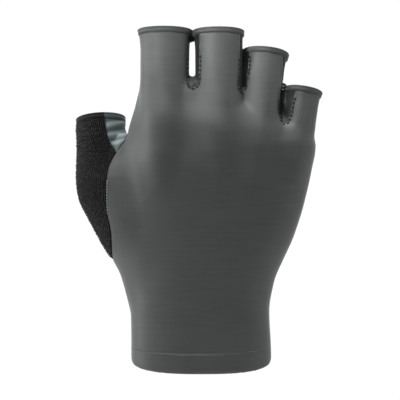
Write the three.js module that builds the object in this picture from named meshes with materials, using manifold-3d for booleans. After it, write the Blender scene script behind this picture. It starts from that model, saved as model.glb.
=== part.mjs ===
// Short-fingered cycling glove for the right hand, in the shape it has when worn.
// Millimetres. X points to the little finger, Y to the palm, Z to the fingertips.
// The origin is the middle of the cuff mouth, where the wrist goes in.

import * as THREE from "three";
import { mergeVertices } from "three/addons/utils/BufferGeometryUtils.js";
import Module from "manifold-3d";

const wasm = await Module();
wasm.setup();

// Driving sizes
const HAND_LENGTH = 130;
const HAND_BREADTH = 91;
const WRIST_DEPTH = 42;
const INDEX_WIDTH = 24;
const INDEX_DEPTH = 20;
const INDEX_LENGTH = 60.7;
const MIDDLE_WIDTH = 23.8;
const MIDDLE_DEPTH = 20;
const MIDDLE_LENGTH = 60;
const RING_WIDTH = 21;
const RING_DEPTH = 18.6;
const RING_LENGTH = 51.4;
const LITTLE_WIDTH = 17.4;
const LITTLE_DEPTH = 16.6;
const LITTLE_LENGTH = 37.2;
const THUMB_WIDTH = 24;
const THUMB_DEPTH = 22;
const WALL = 1.2;
const SEAM_GAP = 0.35;
const FINGER_HEM_HEIGHT = 2.7;
const FINGER_HEM_PROUD = 0.5;
const CUFF_HEM_HEIGHT = 9.5;
const CUFF_HEM_PROUD = 0.3;
const HEM_INSIDE = 0.3;
const CUFF_MOUTH_TILT = 18;
const CUFF_HEM_TILT = 11;
const RIB_GROOVE = 0.6;
const RIB_GROOVE_WIDTH = 1.6;

// Facets round each part
const HAND_SIDES = 36;
const FINGER_SIDES = 20;
const THUMB_SIDES = 24;

// How far a cutting block runs past the glove, and how far a hollow runs out of its opening
const CLEAR = 60;
const RUN_OUT = 6;

// Sections of the hand, from the cuff to the crotches of the fingers.
// up is a share of HAND_LENGTH, left and right of HAND_BREADTH, the depths of WRIST_DEPTH.
// bow is how far the sides lie towards the palm, and square is the power of the section's curve.
const HAND_ROWS = [
  { up: -0.10, left: -0.374, right: 0.374, back: 0.488, palm: 0.524, bow: 0.000, square: 2.6 },
  { up: 0.05, left: -0.374, right: 0.370, back: 0.488, palm: 0.524, bow: 0.000, square: 2.6 },
  { up: 0.18, left: -0.376, right: 0.362, back: 0.483, palm: 0.524, bow: 0.000, square: 2.5 },
  { up: 0.28, left: -0.382, right: 0.385, back: 0.483, palm: 0.536, bow: 0.000, square: 2.4 },
  { up: 0.37, left: -0.401, right: 0.437, back: 0.483, palm: 0.548, bow: 0.010, square: 2.4 },
  { up: 0.46, left: -0.423, right: 0.495, back: 0.476, palm: 0.530, bow: 0.024, square: 2.5 },
  { up: 0.58, left: -0.440, right: 0.548, back: 0.462, palm: 0.476, bow: 0.048, square: 2.6 },
  { up: 0.69, left: -0.434, right: 0.584, back: 0.443, palm: 0.417, bow: 0.071, square: 2.6 },
  { up: 0.79, left: -0.411, right: 0.599, back: 0.414, palm: 0.357, bow: 0.095, square: 2.5 },
  { up: 0.84, left: -0.395, right: 0.549, back: 0.345, palm: 0.321, bow: 0.107, square: 2.4 },
  { up: 0.88, left: -0.380, right: 0.478, back: 0.300, palm: 0.305, bow: 0.110, square: 2.4 },
  { up: 0.92, left: -0.363, right: 0.396, back: 0.252, palm: 0.290, bow: 0.110, square: 2.4 },
  { up: 0.96, left: -0.348, right: 0.308, back: 0.205, palm: 0.286, bow: 0.110, square: 2.4 },
  { up: 1.00, left: -0.333, right: 0.209, back: 0.160, palm: 0.281, bow: 0.110, square: 2.3 },
  { up: 1.03, left: -0.322, right: 0.088, back: 0.110, palm: 0.250, bow: 0.110, square: 2.2 },
  { up: 1.055, left: -0.310, right: -0.022, back: 0.050, palm: 0.190, bow: 0.110, square: 2.0 },
];

// Knuckles and dents: across and wide are shares of HAND_BREADTH, up and tall of HAND_LENGTH,
// rise of WRIST_DEPTH. A rise swells outwards and a negative one dents.
const RELIEF = [
  { side: "back", across: -0.19, up: 0.80, wide: 0.10, tall: 0.09, rise: 0.030 },
  { side: "back", across: 0.09, up: 0.82, wide: 0.10, tall: 0.09, rise: 0.030 },
  { side: "back", across: 0.31, up: 0.80, wide: 0.09, tall: 0.08, rise: 0.024 },
  { side: "back", across: 0.49, up: 0.74, wide: 0.07, tall: 0.08, rise: 0.018 },
  { side: "back", across: 0.08, up: 0.60, wide: 0.20, tall: 0.14, rise: -0.020 },
  { side: "palm", across: 0.10, up: 0.56, wide: 0.20, tall: 0.20, rise: -0.130 },
];

// Fingers: root is in shares of HAND_BREADTH, WRIST_DEPTH and HAND_LENGTH.
// lean is the angle towards the little finger and curl the angle towards the palm, in degrees.
const FINGERS = [
  {
    name: "index", width: INDEX_WIDTH, depth: INDEX_DEPTH, length: INDEX_LENGTH,
    across: -0.198, deep: -0.095, up: 0.769, lean: 0.6, curl: 11.5, flare: -0.03,
  },
  {
    name: "middle", width: MIDDLE_WIDTH, depth: MIDDLE_DEPTH, length: MIDDLE_LENGTH,
    across: 0.095, deep: -0.119, up: 0.769, lean: -0.2, curl: 12, flare: 0,
  },
  {
    name: "ring", width: RING_WIDTH, depth: RING_DEPTH, length: RING_LENGTH,
    across: 0.289, deep: -0.107, up: 0.769, lean: 5.6, curl: 20, flare: 0.03,
  },
  {
    name: "little", width: LITTLE_WIDTH, depth: LITTLE_DEPTH, length: LITTLE_LENGTH,
    across: 0.482, deep: -0.036, up: 0.731, lean: 8.6, curl: 17, flare: 0.05,
  },
];

// Sections of a finger: along is a share of its length, wide and deep of its width and depth,
// and spread of its flare, by which the mouth opens to one side.
const FINGER_ROWS = [
  { along: -0.20, wide: 0.60, deep: 0.90, spread: 0 },
  { along: 0.00, wide: 0.85, deep: 1.20, spread: 0 },
  { along: 0.20, wide: 1.03, deep: 1.22, spread: 0 },
  { along: 0.40, wide: 1.03, deep: 1.11, spread: 0 },
  { along: 0.65, wide: 1.00, deep: 1.02, spread: 0 },
  { along: 0.88, wide: 0.99, deep: 0.99, spread: 0.1 },
  { along: 1.00, wide: 1.01, deep: 1.00, spread: 1 },
];

// Sections of the thumb, from inside the hand to its mouth: across is a share of HAND_BREADTH,
// deep of WRIST_DEPTH, up of HAND_LENGTH, wide of THUMB_WIDTH and thick of THUMB_DEPTH.
const THUMB_ROWS = [
  { across: -0.154, deep: 0.071, up: 0.092, wide: 1.17, thick: 1.27 },
  { across: -0.234, deep: 0.119, up: 0.231, wide: 1.17, thick: 1.41 },
  { across: -0.291, deep: 0.143, up: 0.354, wide: 1.17, thick: 1.55 },
  { across: -0.371, deep: 0.167, up: 0.469, wide: 1.22, thick: 1.55 },
  { across: -0.464, deep: 0.190, up: 0.577, wide: 1.21, thick: 1.42 },
  { across: -0.508, deep: 0.205, up: 0.631, wide: 1.17, thick: 1.31 },
  { across: -0.526, deep: 0.229, up: 0.692, wide: 1.09, thick: 1.18 },
  { across: -0.534, deep: 0.298, up: 0.792, wide: 1.01, thick: 1.04 },
  { across: -0.542, deep: 0.386, up: 0.898, wide: 1.00, thick: 1.00 },
];

// A rolled hem: up is a share of its height and proud of how far it stands out
const HEM_ROWS = [
  { up: 0, proud: 0.3 },
  { up: 0.25, proud: 1 },
  { up: 0.75, proud: 1 },
  { up: 1, proud: 0.4 },
];

// The web between thumb and hand, in the same shares as the thumb
const WEB_ROWS = [
  { across: -0.300, deep: 0.100, up: 0.380, wide: 0.60, thick: 0.80 },
  { across: -0.380, deep: 0.090, up: 0.500, wide: 1.00, thick: 1.20 },
  { across: -0.418, deep: 0.107, up: 0.646, wide: 1.00, thick: 1.09 },
  { across: -0.418, deep: 0.140, up: 0.746, wide: 0.71, thick: 0.85 },
  { across: -0.412, deep: 0.165, up: 0.808, wide: 0.40, thick: 0.68 },
  { across: -0.408, deep: 0.180, up: 0.829, wide: 0.22, thick: 0.50 },
];

// Depth of the side seams, where back and palm panels meet, as shares of WRIST_DEPTH,
// at the thumb, the index finger and the little finger
const SIDE_SEAM_ROWS = [
  { up: -0.20, thumb: 0.10, index: 0.10, little: 0.10 },
  { up: 0.28, thumb: 0.11, index: 0.10, little: 0.10 },
  { up: 0.36, thumb: 0.16, index: 0.10, little: 0.10 },
  { up: 0.46, thumb: 0.24, index: 0.10, little: 0.10 },
  { up: 0.58, thumb: 0.30, index: 0.09, little: 0.10 },
  { up: 0.69, thumb: 0.34, index: 0.08, little: 0.11 },
  { up: 0.81, thumb: 0.41, index: 0.07, little: 0.15 },
  { up: 1.00, thumb: 0.56, index: 0.14, little: 0.28 },
  { up: 1.30, thumb: 0.76, index: 0.31, little: 0.52 },
];
const SIDE_SEAM_COLUMNS = { thumb: -0.48, index: -0.37, middle: -0.09, little: 0.40 };

// Outlines seen from the back: across is a share of HAND_BREADTH and up of HAND_LENGTH.
// The palm panel ends in a curved heel above the cuff.
const PALM_HEEL = [
  { across: -1.00, up: 0.36 },
  { across: -0.36, up: 0.36 },
  { across: -0.25, up: 0.31 },
  { across: -0.10, up: 0.28 },
  { across: 0.08, up: 0.28 },
  { across: 0.24, up: 0.31 },
  { across: 0.36, up: 0.36 },
  { across: 1.00, up: 0.36 },
];

// Seam of the outer thumb panel, from its lower tip up to the corner where the inner panel starts
const THUMB_SIDE_SEAM = [
  { across: -0.477, up: 0.361 },
  { across: -0.482, up: 0.475 },
  { across: -0.501, up: 0.542 },
  { across: -0.505, up: 0.590 },
  { across: -0.505, up: 0.650 },
  { across: -0.495, up: 0.710 },
  { across: -0.456, up: 0.768 },
];
// Seam between the outer and inner thumb panels, from that corner to the thumb's mouth
const THUMB_TOP_SEAM = [
  { across: -0.456, up: 0.768 },
  { across: -0.495, up: 0.822 },
  { across: -0.510, up: 0.868 },
  { across: -0.520, up: 0.918 },
  { across: -0.522, up: 1.020 },
];
// Lower seam of the inner thumb panel, up to the notch between thumb and hand
const THUMB_WEB_SEAM = [
  { across: -0.456, up: 0.768 },
  { across: -0.425, up: 0.795 },
  { across: -0.397, up: 0.825 },
];

// The U-shaped seams round the finger gussets
const GUSSETS = [
  {
    name: "gusset_index_middle",
    seam: [
      { across: -0.076, up: 1.30 },
      { across: -0.077, up: 1.035 },
      { across: -0.067, up: 1.012 },
      { across: -0.050, up: 1.004 },
      { across: -0.025, up: 1.010 },
      { across: -0.008, up: 1.033 },
      { across: -0.001, up: 1.30 },
    ],
  },
  {
    name: "gusset_middle_ring",
    seam: [
      { across: 0.213, up: 1.30 },
      { across: 0.211, up: 1.075 },
      { across: 0.195, up: 1.015 },
      { across: 0.205, up: 0.992 },
      { across: 0.220, up: 0.986 },
      { across: 0.236, up: 1.005 },
      { across: 0.262, up: 1.13 },
      { across: 0.270, up: 1.30 },
    ],
  },
  {
    name: "gusset_ring_little",
    seam: [
      { across: 0.470, up: 1.30 },
      { across: 0.434, up: 1.05 },
      { across: 0.410, up: 0.945 },
      { across: 0.420, up: 0.888 },
      { across: 0.446, up: 0.872 },
      { across: 0.464, up: 0.880 },
      { across: 0.486, up: 0.930 },
      { across: 0.515, up: 1.030 },
      { across: 0.540, up: 1.30 },
    ],
  },
];

// Ribs of the inner thumb panel: height of each groove at its left and right end
const RIB_GROOVES = [
  { left: 0.862, right: 0.876 },
  { left: 0.822, right: 0.846 },
  { left: 0.786, right: 0.816 },
];

// Colours
const STRETCH_GREY = new THREE.MeshStandardMaterial({ color: 0x565b59, roughness: 0.62, metalness: 0 });
const PALM_BLACK = new THREE.MeshStandardMaterial({ color: 0x1d1e20, roughness: 0.7, metalness: 0 });
const TOWEL_BLACK = new THREE.MeshStandardMaterial({ color: 0x191919, roughness: 0.95, metalness: 0 });
const RIB_GREY = new THREE.MeshStandardMaterial({ color: 0x5f6c6d, roughness: 0.75, metalness: 0 });
const HEM_GREY = new THREE.MeshStandardMaterial({ color: 0x4b504e, roughness: 0.65, metalness: 0 });

function toSolid(geometry) {
  geometry.deleteAttribute("normal");
  geometry.deleteAttribute("uv");
  const merged = mergeVertices(geometry, 1e-4);
  const vertProperties = new Float32Array(merged.attributes.position.array);
  const triVerts = new Uint32Array(merged.index.array);
  return new wasm.Manifold(new wasm.Mesh({ numProp: 3, vertProperties, triVerts }));
}

function toGeometry(solid) {
  const mesh = solid.getMesh();
  const geometry = new THREE.BufferGeometry();
  geometry.setAttribute("position", new THREE.BufferAttribute(new Float32Array(mesh.vertProperties), 3));
  geometry.setIndex(new THREE.BufferAttribute(new Uint32Array(mesh.triVerts), 1));
  geometry.computeVertexNormals();
  return geometry;
}

function join(solids) {
  return solids.reduce((whole, next) => whole.add(next));
}

// The largest loose body of a cut, without the crumbs that a seam leaves beside it
function mainBody(solid) {
  const bodies = solid.decompose();
  return bodies.reduce((best, next) => (next.volume() > best.volume() ? next : best));
}

// A closed skin through rings of equally many points, capped at both ends
function loft(rings) {
  const sides = rings[0].length;
  const points = rings.flat();
  const index = [];
  for (let row = 0; row < rings.length - 1; row += 1) {
    for (let side = 0; side < sides; side += 1) {
      const a = row * sides + side;
      const b = row * sides + ((side + 1) % sides);
      index.push(a, b, b + sides, a, b + sides, a + sides);
    }
  }
  const last = rings.length - 1;
  for (const [row, order] of [[0, 1], [last, -1]]) {
    const middle = new THREE.Vector3();
    rings[row].forEach((point) => middle.addScaledVector(point, 1 / sides));
    points.push(middle);
    for (let side = 0; side < sides; side += 1) {
      const a = row * sides + side;
      const b = row * sides + ((side + 1) % sides);
      const hub = points.length - 1;
      index.push(...(order > 0 ? [hub, b, a] : [hub, a, b]));
    }
  }
  const geometry = new THREE.BufferGeometry();
  geometry.setAttribute("position", new THREE.Float32BufferAttribute(points.flatMap((p) => p.toArray()), 3));
  geometry.setIndex(index);
  return toSolid(geometry);
}

// A curve between ellipse and rectangle: cosine or sine raised to the section's power
function rounded(value, square) {
  return Math.sign(value) * Math.abs(value) ** (2 / square);
}

function reliefAt(side, x, z) {
  let rise = 0;
  for (const bump of RELIEF) {
    if (bump.side === side) {
      const across = (x / HAND_BREADTH - bump.across) / bump.wide;
      const up = (z / HAND_LENGTH - bump.up) / bump.tall;
      rise += bump.rise * WRIST_DEPTH * Math.exp(-across * across - up * up);
    }
  }
  return rise;
}

function handRing(row, inset, drop) {
  const z = row.up * HAND_LENGTH - drop;
  const middle = ((row.left + row.right) / 2) * HAND_BREADTH;
  const half = ((row.right - row.left) / 2) * HAND_BREADTH - inset;
  const ring = [];
  for (let side = 0; side < HAND_SIDES; side += 1) {
    const angle = (side / HAND_SIDES) * 2 * Math.PI;
    const across = rounded(Math.cos(angle), row.square);
    const towards = rounded(Math.sin(angle), row.square);
    const x = middle + half * across;
    const face = towards < 0 ? "back" : "palm";
    const depth = row[face] * WRIST_DEPTH - inset + reliefAt(face, x, z);
    const y = towards * depth + row.bow * WRIST_DEPTH * across * across;
    ring.push(new THREE.Vector3(x, y, z));
  }
  return ring;
}

// The hand, smaller all round by inset and lower at its closed top
function handSolid(inset, runOut) {
  const rings = HAND_ROWS.map((row) => handRing(row, inset, row.up > 1 ? inset : 0));
  if (runOut > 0) {
    rings.unshift(rings[0].map((point) => point.clone().add(new THREE.Vector3(0, 0, -runOut))));
  }
  return loft(rings);
}

// A ring across an axis: wide lies in the plane of the hand, thick towards the palm
function limbRing(centre, axis, halfWidth, halfDepth, sides) {
  const wide = new THREE.Vector3(0, 1, 0).cross(axis).normalize();
  const thick = axis.clone().cross(wide).normalize();
  const ring = [];
  for (let side = 0; side < sides; side += 1) {
    const angle = (side / sides) * 2 * Math.PI;
    const point = centre.clone();
    point.addScaledVector(wide, halfWidth * Math.cos(angle));
    point.addScaledVector(thick, halfDepth * Math.sin(angle));
    ring.push(point);
  }
  return ring;
}

function fingerAxis(finger) {
  const lean = THREE.MathUtils.degToRad(finger.lean);
  const curl = THREE.MathUtils.degToRad(finger.curl);
  return new THREE.Vector3(Math.tan(lean), Math.tan(curl), 1).normalize();
}

function fingerRoot(finger) {
  return new THREE.Vector3(
    finger.across * HAND_BREADTH,
    finger.deep * WRIST_DEPTH,
    finger.up * HAND_LENGTH,
  );
}

// Width, depth and sideways shift of a finger at a length from its root
function fingerSection(finger, length) {
  const along = Math.min(length / finger.length, 1);
  const upper = Math.max(FINGER_ROWS.findIndex((row) => row.along >= along), 1);
  const [low, high] = [FINGER_ROWS[upper - 1], FINGER_ROWS[upper]];
  const part = (along - low.along) / (high.along - low.along);
  const mix = (key) => THREE.MathUtils.lerp(low[key], high[key], part);
  const flare = finger.flare * mix("spread");
  return {
    halfWidth: (finger.width / 2) * (mix("wide") + Math.abs(flare)),
    halfDepth: (finger.depth / 2) * mix("deep"),
    shift: (finger.width / 2) * flare,
  };
}

function fingerRing(finger, length, inset) {
  const axis = fingerAxis(finger);
  const section = fingerSection(finger, length);
  const centre = fingerRoot(finger).addScaledVector(axis, length);
  centre.x += section.shift;
  return limbRing(centre, axis, section.halfWidth - inset, section.halfDepth - inset, FINGER_SIDES);
}

function fingerTube(finger, inset, end) {
  const inner = FINGER_ROWS.map((row) => row.along * finger.length).filter((length) => length < end - 1);
  return loft([...inner, end].map((length) => fingerRing(finger, length, inset)));
}

// A hem is a rolled band, fullest in its middle
function fingerHem(finger) {
  const start = finger.length - FINGER_HEM_HEIGHT;
  const outside = loft(
    HEM_ROWS.map((row) =>
      fingerRing(finger, start + row.up * FINGER_HEM_HEIGHT, -row.proud * FINGER_HEM_PROUD)),
  );
  const inside = loft(
    [start - RUN_OUT, start, finger.length, finger.length + RUN_OUT].map((length) =>
      fingerRing(finger, length, WALL + HEM_INSIDE)),
  );
  return outside.subtract(inside);
}

function thumbCentre(row) {
  return new THREE.Vector3(row.across * HAND_BREADTH, row.deep * WRIST_DEPTH, row.up * HAND_LENGTH);
}

// Rings of a bent limb, each across the way from the row before it to the row after it
function bentLimb(rows, inset, trim, runOut) {
  const centres = rows.map(thumbCentre);
  const last = rows.length - 1;
  const rings = rows.map((row, i) => {
    const axis = centres[Math.min(i + 1, last)].clone().sub(centres[Math.max(i - 1, 0)]).normalize();
    const centre = centres[i].clone();
    if (i === last) {
      centre.addScaledVector(axis, -trim);
    }
    const halfWidth = (THUMB_WIDTH / 2) * row.wide - inset;
    const halfDepth = (THUMB_DEPTH / 2) * row.thick - inset;
    return limbRing(centre, axis, halfWidth, halfDepth, THUMB_SIDES);
  });
  if (runOut > 0) {
    const axis = centres[last].clone().sub(centres[last - 1]).normalize();
    rings.push(rings[last].map((point) => point.clone().addScaledVector(axis, runOut)));
  }
  return loft(rings);
}

function thumbHem() {
  const last = THUMB_ROWS.length - 1;
  const top = thumbCentre(THUMB_ROWS[last]);
  const axis = top.clone().sub(thumbCentre(THUMB_ROWS[last - 1])).normalize();
  const ringAt = (down, inset) =>
    limbRing(
      top.clone().addScaledVector(axis, -down),
      axis,
      THUMB_WIDTH / 2 - inset,
      THUMB_DEPTH / 2 - inset,
      THUMB_SIDES,
    );
  const outside = loft(
    HEM_ROWS.map((row) => ringAt((1 - row.up) * FINGER_HEM_HEIGHT, -row.proud * FINGER_HEM_PROUD)),
  );
  const inside = loft([
    ringAt(FINGER_HEM_HEIGHT + RUN_OUT, WALL + HEM_INSIDE),
    ringAt(-RUN_OUT, WALL + HEM_INSIDE),
  ]);
  return outside.subtract(inside);
}

// A block with this outline seen from the back, running through the glove from front to palm
function throughBlock(outline, grow) {
  const points = outline.map((p) => new THREE.Vector2(p.across * HAND_BREADTH, p.up * HAND_LENGTH));
  const grown = points.map((point, i) => {
    const before = points[(i + points.length - 1) % points.length];
    const after = points[(i + 1) % points.length];
    const first = point.clone().sub(before).normalize();
    const second = after.clone().sub(point).normalize();
    const out = new THREE.Vector2(first.y + second.y, -first.x - second.x).normalize();
    const turn = Math.max(first.dot(second), -0.5);
    return point.clone().addScaledVector(out, grow / Math.sqrt((1 + turn) / 2));
  });
  const shape = new THREE.Shape(grown);
  const block = new THREE.ExtrudeGeometry(shape, { depth: 2 * CLEAR, bevelEnabled: false });
  block.rotateX(Math.PI / 2);
  block.translate(0, CLEAR, 0);
  return toSolid(block);
}

// Everything on the palm side of the side seams, forward by grow
function palmSide(grow) {
  const far = 1.2 * HAND_BREADTH;
  const rings = SIDE_SEAM_ROWS.map((row) => {
    const z = row.up * HAND_LENGTH;
    const seam = [
      [-far, row.thumb],
      [SIDE_SEAM_COLUMNS.thumb * HAND_BREADTH, row.thumb],
      [SIDE_SEAM_COLUMNS.index * HAND_BREADTH, row.index],
      [SIDE_SEAM_COLUMNS.middle * HAND_BREADTH, row.index],
      [SIDE_SEAM_COLUMNS.little * HAND_BREADTH, row.little],
      [far, row.little],
    ];
    const front = seam.map(([x, deep]) => new THREE.Vector3(x, deep * WRIST_DEPTH - grow, z));
    return [...front, new THREE.Vector3(far, CLEAR, z), new THREE.Vector3(-far, CLEAR, z)];
  });
  return loft(rings);
}

// A flat-bottomed block above a plane that tips about the width of the cuff
function aboveCuff(height, tilt) {
  const block = new THREE.BoxGeometry(4 * CLEAR, 4 * CLEAR, 4 * CLEAR);
  block.translate(0, 0, 2 * CLEAR);
  block.rotateX(THREE.MathUtils.degToRad(tilt));
  block.translate(0, 0, height);
  return toSolid(block);
}

// Blocks that hold each panel, as wide as the panel or wider by the seam gap
const palmOutline = [...PALM_HEEL, { across: 1.0, up: 1.5 }, { across: -1.0, up: 1.5 }];
const thumbOuterOutline = [
  ...THUMB_SIDE_SEAM,
  ...THUMB_TOP_SEAM.slice(1),
  { across: -1.0, up: 1.02 },
  { across: -1.0, up: 0.361 },
];
const thumbInnerOutline = [
  ...THUMB_WEB_SEAM,
  { across: -0.397, up: 1.02 },
  ...[...THUMB_TOP_SEAM].reverse().slice(0, -1),
];

function gussetBlock(gusset, grow) {
  return throughBlock(gusset.seam, grow);
}

function palmBlock(grow) {
  return throughBlock(palmOutline, grow).intersect(palmSide(grow));
}

// The sewn shell of the whole glove, a wall thick and open at each mouth
const clothEnd = FINGER_HEM_HEIGHT + SEAM_GAP;
const outside = join([
  handSolid(0, 0),
  bentLimb(THUMB_ROWS, 0, clothEnd, 0),
  bentLimb(WEB_ROWS, 0, 0, 0),
  ...FINGERS.map((finger) => fingerTube(finger, 0, finger.length - clothEnd)),
]);
const inside = join([
  handSolid(WALL, RUN_OUT),
  bentLimb(THUMB_ROWS, WALL, clothEnd, RUN_OUT + clothEnd),
  bentLimb(WEB_ROWS, WALL, WALL, 0),
  ...FINGERS.map((finger) => fingerTube(finger, WALL, finger.length + RUN_OUT)),
]);
// Height of the hem line over the middle of the mouth, from the hem's height on the back of the cuff
const slope = (degrees) => Math.tan(THREE.MathUtils.degToRad(degrees));
const cuffBack = HAND_ROWS[0].back * WRIST_DEPTH;
const hemLine = CUFF_HEM_HEIGHT - cuffBack * (slope(CUFF_MOUTH_TILT) - slope(CUFF_HEM_TILT));
const shell = outside.subtract(inside).intersect(aboveCuff(hemLine, CUFF_HEM_TILT));

const thumbOuterWide = throughBlock(thumbOuterOutline, SEAM_GAP);
const thumbInnerWide = throughBlock(thumbInnerOutline, SEAM_GAP);
const gussetsWide = join(GUSSETS.map((gusset) => gussetBlock(gusset, SEAM_GAP)));
const palmWide = palmBlock(SEAM_GAP);

const backPanel = mainBody(
  shell.subtract(palmWide).subtract(gussetsWide).subtract(thumbOuterWide).subtract(thumbInnerWide),
);
const palmPanel = mainBody(shell.intersect(palmBlock(0)).subtract(gussetsWide));
const thumbOuterPanel = mainBody(shell.intersect(throughBlock(thumbOuterOutline, 0)).subtract(palmWide));

// Grooves press the ribs out of the inner thumb panel
function ribGroove(groove) {
  const outline = [
    { across: -0.60, up: groove.left },
    { across: -0.30, up: groove.right },
    { across: -0.30, up: groove.right + RIB_GROOVE_WIDTH / HAND_LENGTH },
    { across: -0.60, up: groove.left + RIB_GROOVE_WIDTH / HAND_LENGTH },
  ];
  return throughBlock(outline, 0);
}
const belowGrooves = join([bentLimb(THUMB_ROWS, RIB_GROOVE, 0, 0), bentLimb(WEB_ROWS, RIB_GROOVE, 0, 0)]);
const grooves = join(RIB_GROOVES.map(ribGroove)).subtract(belowGrooves);
const thumbInnerPanel = mainBody(
  shell
    .intersect(throughBlock(thumbInnerOutline, 0))
    .subtract(palmWide)
    .subtract(thumbOuterWide)
    .subtract(grooves),
);

// The band round the cuff mouth, from the mouth's own plane up to the hem line
const cuffBand = handSolid(-CUFF_HEM_PROUD, 0).subtract(handSolid(WALL + HEM_INSIDE, RUN_OUT));
const cuffHem = mainBody(
  cuffBand
    .intersect(aboveCuff(0, CUFF_MOUTH_TILT))
    .subtract(aboveCuff(hemLine - SEAM_GAP, CUFF_HEM_TILT)),
);

const glove = new THREE.Group();
glove.name = "cycling_glove";

function addPiece(name, solid, material) {
  const piece = new THREE.Mesh(toGeometry(solid), material);
  piece.name = name;
  glove.add(piece);
}

addPiece("back_panel", backPanel, STRETCH_GREY);
addPiece("palm_panel", palmPanel, PALM_BLACK);
for (const gusset of GUSSETS) {
  addPiece(gusset.name, mainBody(shell.intersect(gussetBlock(gusset, 0))), STRETCH_GREY);
}
addPiece("thumb_outer_panel", thumbOuterPanel, TOWEL_BLACK);
addPiece("thumb_inner_panel", thumbInnerPanel, RIB_GREY);
for (const finger of FINGERS) {
  addPiece(`hem_${finger.name}`, fingerHem(finger), HEM_GREY);
}
addPiece("hem_thumb", thumbHem(), HEM_GREY);
addPiece("cuff_hem", cuffHem, STRETCH_GREY);

export default glove;
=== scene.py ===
"""A short-fingered cycling glove in stretch fabric, shown as worn, sewn from panels of cloth."""

import math

import bpy
import numpy as np
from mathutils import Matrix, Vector


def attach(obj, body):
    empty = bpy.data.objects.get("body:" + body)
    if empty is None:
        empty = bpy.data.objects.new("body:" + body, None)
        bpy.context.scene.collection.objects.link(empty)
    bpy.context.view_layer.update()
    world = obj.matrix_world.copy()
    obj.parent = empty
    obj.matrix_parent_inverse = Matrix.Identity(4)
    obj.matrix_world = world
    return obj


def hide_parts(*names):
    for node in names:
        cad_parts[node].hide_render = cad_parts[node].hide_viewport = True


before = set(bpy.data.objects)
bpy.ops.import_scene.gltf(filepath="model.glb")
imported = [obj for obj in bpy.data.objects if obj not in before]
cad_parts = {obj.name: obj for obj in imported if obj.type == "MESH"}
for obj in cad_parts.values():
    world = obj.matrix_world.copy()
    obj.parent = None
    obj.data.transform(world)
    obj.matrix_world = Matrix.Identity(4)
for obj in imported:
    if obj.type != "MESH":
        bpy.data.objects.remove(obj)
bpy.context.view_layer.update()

MM = 0.001

# The glove's sizes in millimetres. X points to the little finger, Y to the palm, Z to the fingertips.
HAND_LENGTH = 130.0
HAND_BREADTH = 91.0
WRIST_DEPTH = 42.0
THUMB_WIDTH = 24.0
THUMB_DEPTH = 22.0
WALL = 1.2
FINGER_HEM_HEIGHT = 2.7
CUFF_HEM_HEIGHT = 9.5
CUFF_MOUTH_TILT = math.radians(18)
CUFF_HEM_TILT = math.radians(11)

# How softly the fingers run into the hand: at their roots, and then over a rise above a height
FINGER_BLEND = 5.0
FINGER_TOP_BLEND = 1.2
FINGER_TOP_FROM = 110.0
FINGER_TOP_RISE = 22.0

# How softly each finger runs into the one before it, under the height of the fork between them
FORKS = {"middle": 128.5, "ring": 127.0, "little": 112.0}
FORK_BLEND = 8.0
FORK_TOP_BLEND = 0.3
FORK_RISE = 9.0

# How softly the thumb and its web run into the hand, by height
THUMB_BLEND = {"up": [20.0, 55.0, 88.0, 104.0], "blend": [2.0, 9.0, 9.0, 1.2]}
WEB_BLEND = 6.0

# How softly the hand ends at its top, and the palm seam turns into the seam of the heel
HAND_TOP_BLEND = 3.0
PALM_SEAM_BLEND = 4.0

# How far from the skin a distance still grows, and how far towards the edges the hand still bows
FAR = 30.0
BOW_LIMIT = 1.6

# Which part of the glove the thumb, the fingers and their mouths lie in
THUMB_LEFT_OF = 14.0
FINGERS_ABOVE = 75.0
FINGER_MOUTHS_ABOVE = 105.0
THUMB_MOUTH_LEFT_OF = -36.0

# Grid steps of the cloth: the search for the skin, and the cloth's own mesh, within a box
SEARCH_STEP = 1.6
CLOTH_STEP = 0.8
SEARCH_BOX = np.array([(-68.0, -27.0, -16.0), (65.0, 34.0, 172.0)])

# Sections of the hand in shares of its length, breadth and wrist depth, and how square each one is
HAND_ROWS = {
    "up": [
        -0.30, -0.10, 0.05, 0.18, 0.28, 0.37, 0.46, 0.58, 0.69, 0.79, 0.84, 0.88, 0.92, 0.96, 1.0, 1.03,
        1.055,
    ],
    "left": [
        -0.374, -0.374, -0.374, -0.376, -0.382, -0.401, -0.423, -0.440, -0.434, -0.411, -0.395, -0.380,
        -0.363, -0.348, -0.333, -0.322, -0.310,
    ],
    "right": [
        0.376, 0.374, 0.370, 0.362, 0.385, 0.437, 0.495, 0.548, 0.584, 0.599, 0.549, 0.478, 0.396, 0.308,
        0.209, 0.088, -0.022,
    ],
    "back": [
        0.488, 0.488, 0.488, 0.483, 0.483, 0.483, 0.476, 0.462, 0.444, 0.408, 0.370, 0.320, 0.262, 0.205,
        0.160, 0.110, 0.050,
    ],
    "palm": [
        0.524, 0.524, 0.524, 0.524, 0.536, 0.548, 0.530, 0.476, 0.417, 0.357, 0.321, 0.305, 0.290, 0.286,
        0.281, 0.250, 0.190,
    ],
    "bow": [
        0, 0, 0, 0, 0, 0.010, 0.024, 0.048, 0.071, 0.095, 0.107, 0.110, 0.110, 0.110, 0.110, 0.110, 0.110,
    ],
    "square": [2.6, 2.6, 2.6, 2.5, 2.4, 2.4, 2.5, 2.6, 2.6, 2.5, 2.4, 2.4, 2.4, 2.4, 2.3, 2.2, 2.0],
}

# Broad hollows of the hand: face, place and size in shares of breadth and length, rise of wrist depth
RELIEF = [
    ("back", 0.08, 0.60, 0.20, 0.14, -0.020),
    ("palm", 0.10, 0.56, 0.20, 0.20, -0.130),
]

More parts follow.
